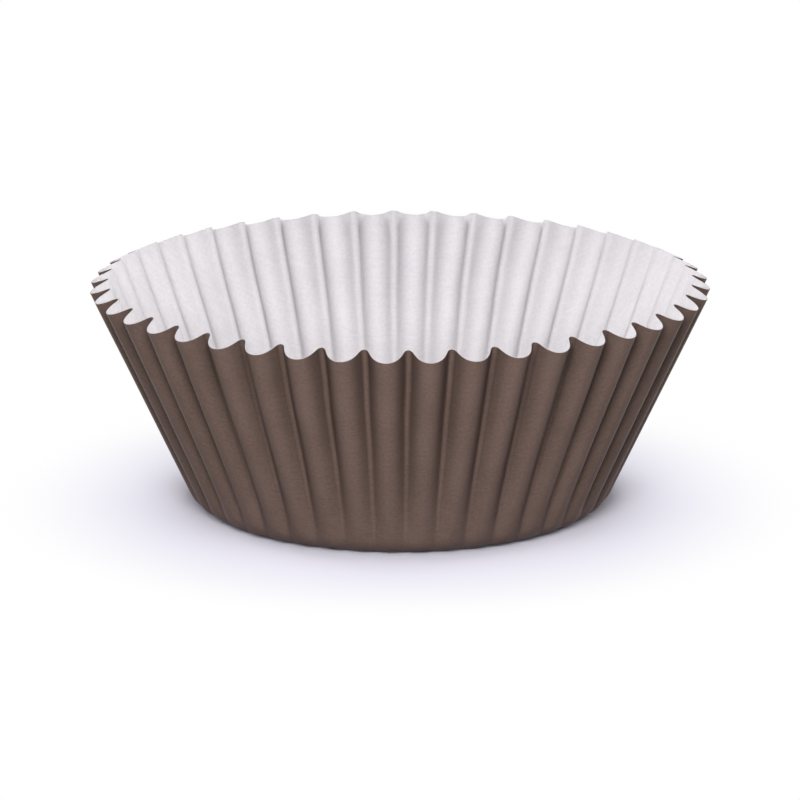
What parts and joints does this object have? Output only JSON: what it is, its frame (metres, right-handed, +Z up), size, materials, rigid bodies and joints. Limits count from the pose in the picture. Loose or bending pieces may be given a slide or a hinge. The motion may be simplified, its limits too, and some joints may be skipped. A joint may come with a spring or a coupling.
{
  "type": "cupcake liner",
  "caption": "Fluted paper baking cup with a flat round base and a flared pleated wall, open at the top, that lines a muffin tin and holds one small cake.",
  "frame": {"origin": "centre of the underside of the base", "axes": "+Z up along the axis of the cup, towards its mouth; +X through the middle of a ridge"},
  "size_m": [0.0754, 0.0754, 0.0281],
  "materials": {
    "paper": "satin brown outside, white inside"
  },
  "bodies": {
    "root": {"liner": "paper"}
  },
  "joints": []
}
